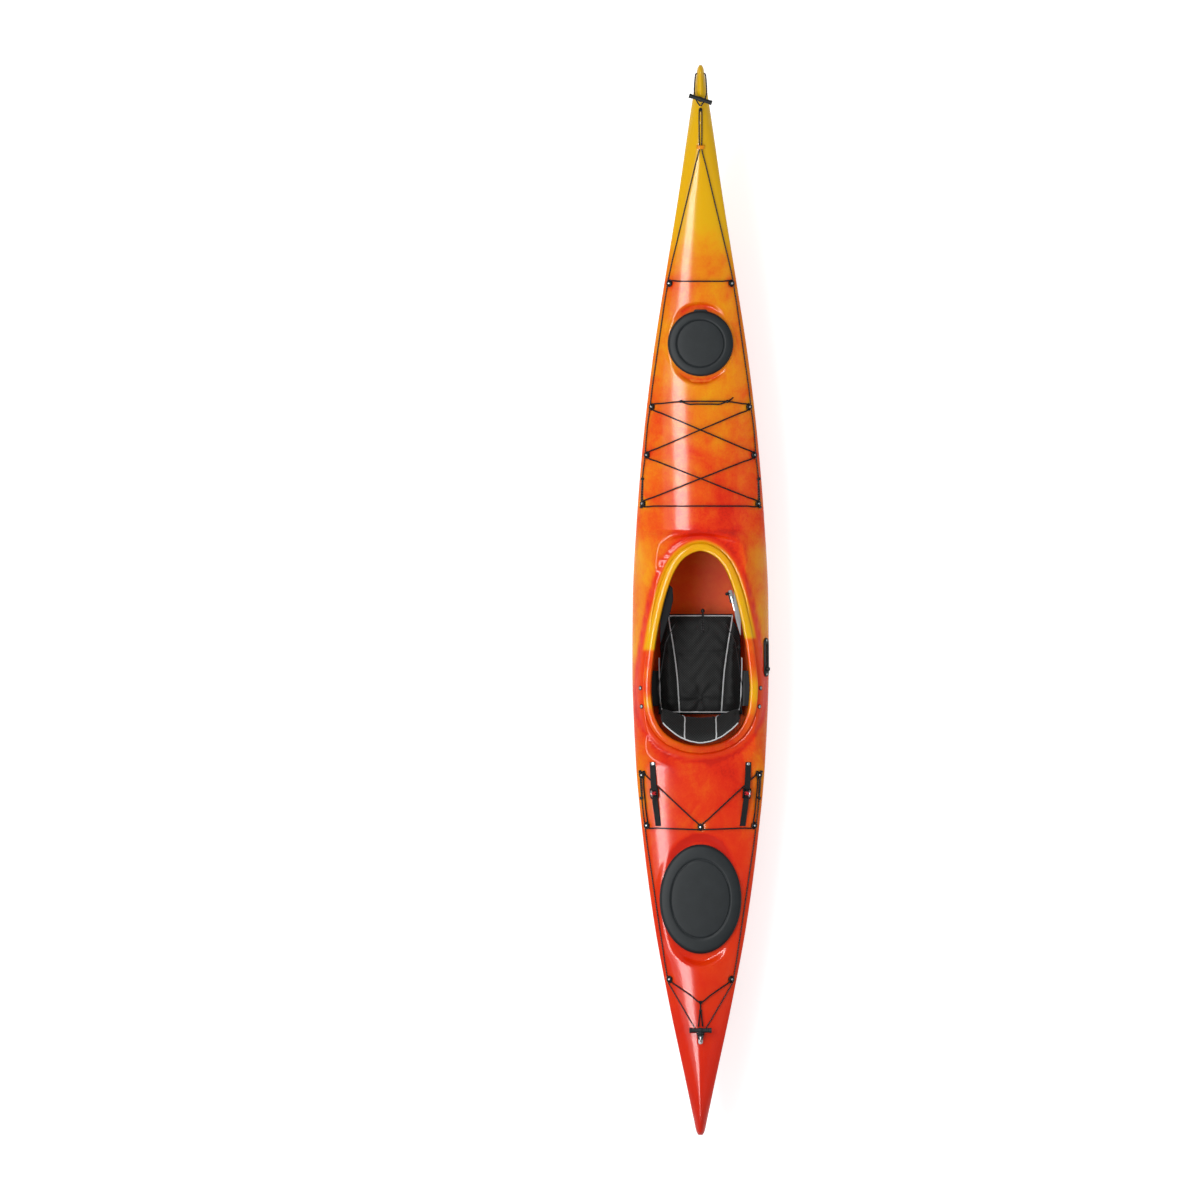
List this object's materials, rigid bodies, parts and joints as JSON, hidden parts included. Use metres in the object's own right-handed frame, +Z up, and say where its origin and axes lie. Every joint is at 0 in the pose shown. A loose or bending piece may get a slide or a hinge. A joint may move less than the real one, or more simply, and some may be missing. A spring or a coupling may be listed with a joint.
{
  "type": "sea kayak",
  "caption": "Slim touring kayak with a moulded shell, egg-shaped cockpit, rubber hatches, a drop-down skeg, deck lines, bungees and carrying toggles.",
  "frame": {"origin": "middle of the length, on the keel line, at the height of the lowered skeg's tip", "axes": "+X to the bow, +Y to port, +Z up"},
  "size_m": [4.57, 0.5892, 0.4645],
  "materials": {
    "polyethylene": "rotomoulded, yellow bow fading through orange to a red stern, glossy",
    "rubber": "dark grey, soft satin",
    "foam": "closed-cell foam, matte",
    "seat_fabric": "black mesh weave with grey piping",
    "plastic": "moulded black, satin",
    "steel": "stainless, bright",
    "cord": "braided black cord with light flecks",
    "webbing": "woven black band",
    "red_webbing": "stiff red band"
  },
  "bodies": {
    "hull": {"hull_shell": "polyethylene", "bow_bulkhead": "foam", "stern_bulkhead": "foam", "thigh_brace_port": "foam", "thigh_brace_starboard": "foam", "seat_cushion": "seat_fabric", "skeg_box": "plastic", "skeg_slider_track": "plastic", "skeg_cable": "plastic", "seat_pan": "plastic", "backrest_ratchet": "plastic", "foot_rail_port": "plastic", "foot_rail_starboard": "plastic", "strap_buckle_port": "plastic", "strap_buckle_starboard": "plastic", "deck_clip_bow_port": "plastic", "deck_clip_bow_starboard": "plastic", "deck_clip_forward_port": "plastic", "deck_clip_forward_starboard": "plastic", "deck_clip_middle_port": "plastic", "deck_clip_middle_starboard": "plastic", "deck_clip_cockpit_port": "plastic", "deck_clip_cockpit_starboard": "plastic", "deck_clip_seat_port": "plastic", "deck_clip_seat_starboard": "plastic", "deck_clip_reardeck_port": "plastic", "deck_clip_reardeck_starboard": "plastic", "deck_clip_stern_port": "plastic", "deck_clip_stern_starboard": "plastic", "deck_clip_centre": "plastic", "skeg_pivot_pin": "steel", "backrest_pin_port": "steel", "backrest_pin_starboard": "steel", "stern_shackle": "steel", "bow_deck_line": "cord", "stern_deck_line": "cord", "foredeck_bungee": "cord", "bow_cross_bungee": "cord", "reardeck_bungee": "cord", "stern_retainer_bungee": "cord", "backrest_strap_port": "webbing", "backrest_strap_starboard": "webbing", "deck_strap_port": "webbing", "deck_strap_starboard": "webbing"},
    "bow_hatch": {"bow_hatch_cover": "rubber"},
    "stern_hatch": {"stern_hatch_cover": "rubber"},
    "skeg": {"skeg_blade": "plastic"},
    "skeg_knob": {"skeg_slider_knob": "plastic"},
    "backrest": {"backrest_plate": "plastic", "backrest_pad": "seat_fabric"},
    "foot_pedal_port": {"foot_pedal_port": "plastic"},
    "foot_pedal_starboard": {"foot_pedal_starboard": "plastic"},
    "bow_toggle": {"bow_toggle_grip": "plastic", "bow_toggle_cord": "cord"},
    "stern_toggle": {"stern_toggle_grip": "plastic", "stern_toggle_cord": "cord"},
    "release_tab_port": {"release_tab_port": "red_webbing"},
    "release_tab_starboard": {"release_tab_starboard": "red_webbing"},
    "tab_ring_port": {"tab_ring_port": "steel"},
    "tab_ring_starboard": {"tab_ring_starboard": "steel"}
  },
  "joints": [
    {"name": "bow_hatch_lift", "type": "slide", "parent": "hull", "child": "bow_hatch", "axis": [0, 0, 1], "range_m": [0, 0.09]},
    {"name": "stern_hatch_lift", "type": "slide", "parent": "hull", "child": "stern_hatch", "axis": [-0.0209, 0, 0.9998], "range_m": [0, 0.09]},
    {"name": "skeg_pivot", "type": "hinge", "parent": "hull", "child": "skeg", "pos_m": [-1.5161, 0, 0.10636], "axis": [0, 1, 0], "range_deg": [0, 24]},
    {"name": "skeg_slider", "type": "slide", "parent": "hull", "child": "skeg_knob", "axis": [1, 0.0032, -0.0011], "range_m": [0, 0.1]},
    {"name": "backrest_recline", "type": "hinge", "parent": "hull", "child": "backrest", "pos_m": [-0.53992, 0, 0.18669], "axis": [0, 1, 0], "range_deg": [0, 20]},
    {"name": "foot_pedal_port_slide", "type": "slide", "parent": "hull", "child": "foot_pedal_port", "axis": [0.994, -0.1093, 0], "range_m": [-0.095, 0.095]},
    {"name": "foot_pedal_starboard_slide", "type": "slide", "parent": "hull", "child": "foot_pedal_starboard", "axis": [0.994, 0.1093, 0], "range_m": [-0.095, 0.095]},
    {"name": "bow_toggle_swing", "type": "hinge", "parent": "hull", "child": "bow_toggle", "pos_m": [2.24844, 0, 0.44054], "axis": [0, 1, 0], "range_deg": [0, 120]},
    {"name": "stern_toggle_swing", "type": "hinge", "parent": "hull", "child": "stern_toggle", "pos_m": [-1.87425, 0.00162, 0.33577], "axis": [0, -1, 0], "range_deg": [0, 140]},
    {"name": "release_tab_port_tilt", "type": "hinge", "parent": "hull", "child": "release_tab_port", "pos_m": [-0.82574, 0.19964, 0.29753], "axis": [-0.0901, 0.9612, -0.2607], "range_deg": [-25, 25]},
    {"name": "release_tab_starboard_tilt", "type": "hinge", "parent": "hull", "child": "release_tab_starboard", "pos_m": [-0.82574, -0.19964, 0.29753], "axis": [0.0901, 0.9612, 0.2607], "range_deg": [-25, 25]},
    {"name": "tab_ring_port_swing", "type": "hinge", "parent": "release_tab_port", "child": "tab_ring_port", "pos_m": [-0.82707, 0.20789, 0.32842], "axis": [0.9951, 0.0978, 0.0166], "range_deg": [-30, 30]},
    {"name": "tab_ring_starboard_swing", "type": "hinge", "parent": "release_tab_starboard", "child": "tab_ring_starboard", "pos_m": [-0.82707, -0.20789, 0.32842], "axis": [0.9951, -0.0978, 0.0166], "range_deg": [-30, 30]}
  ],
  "couplings": [
    {"joint": "skeg_slider", "follows": "skeg_pivot", "m_per_rad": 0.2387}
  ]
}
